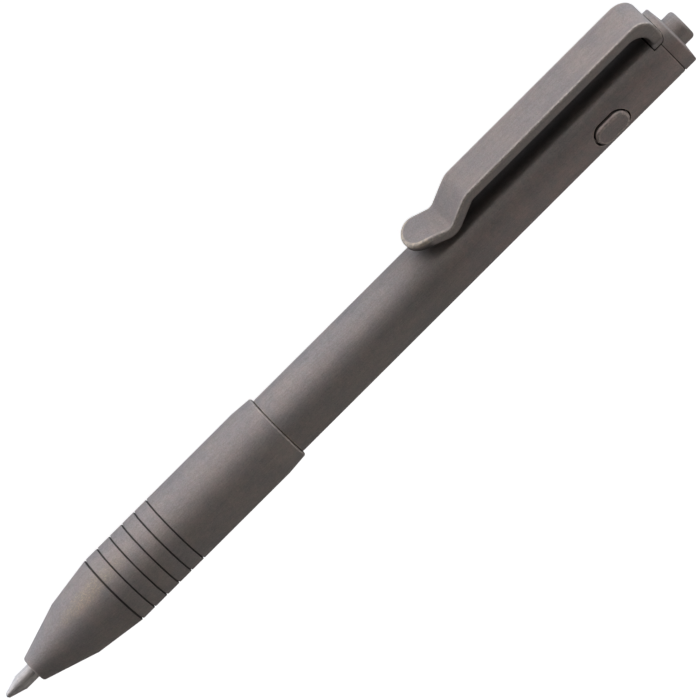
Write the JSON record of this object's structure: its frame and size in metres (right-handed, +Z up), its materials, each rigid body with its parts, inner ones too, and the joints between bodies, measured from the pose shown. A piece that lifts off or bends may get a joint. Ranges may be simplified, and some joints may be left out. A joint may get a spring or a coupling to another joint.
{
  "type": "click pen",
  "caption": "Slim metal ballpoint click pen with an end button, a side release button, a pocket clip and a grooved screw-on grip.",
  "frame": {"origin": "under the middle of the pen's length and width, on the table that its grip lies on, with the refill out", "axes": "+X runs along the pen from the writing tip to the end button, +Z points up through the side button, and the pocket clip faces +Y"},
  "size_m": [0.135, 0.015, 0.0117],
  "materials": {
    "titanium": "matte",
    "refill_nickel": "satin",
    "spring_steel": "satin",
    "brass": "satin",
    "rubber": "matte",
    "plastic": "satin"
  },
  "bodies": {
    "barrel_body": {"barrel": "titanium", "end_cap": "titanium", "pocket_clip": "titanium", "mechanism_sleeve": "brass", "latch_spring": "spring_steel", "latch_rivet_upper": "spring_steel", "latch_rivet_lower": "spring_steel", "grip_o_ring": "rubber"},
    "plunger": {"end_button": "titanium", "plunger_rod": "spring_steel", "catch_collar": "spring_steel", "pusher_cup": "brass", "refill_end_plug": "plastic", "refill_tube": "refill_nickel", "refill_nose": "refill_nickel", "refill_tip": "refill_nickel", "writing_ball": "spring_steel"},
    "release_button": {"side_button": "titanium"},
    "spring_carrier": {"return_spring": "spring_steel"},
    "grip": {"grip_section": "titanium"}
  },
  "joints": [
    {"name": "plunger_slide", "type": "slide", "parent": "barrel_body", "child": "plunger", "axis": [1, 0, 0], "range_m": [-0.0003, 0.0065], "deforming": ["return_spring", "latch_spring"]},
    {"name": "side_button_press", "type": "slide", "parent": "barrel_body", "child": "release_button", "axis": [0, 0, -1], "range_m": [0, 0.0008], "stiffness_N_per_m": 1200, "deforming": ["latch_spring"]},
    {"name": "grip_advance", "type": "slide", "parent": "barrel_body", "child": "spring_carrier", "axis": [-1, 0, 0], "range_m": [0, 0.006]},
    {"name": "grip_unscrew", "type": "hinge", "parent": "spring_carrier", "child": "grip", "pos_m": [0, -0.00168, 0.00584], "axis": [-1, 0, 0], "range_deg": [0, 2880]}
  ],
  "couplings": [
    {"joint": "grip_unscrew", "follows": "grip_advance", "rad_per_m": 8377.5}
  ]
}
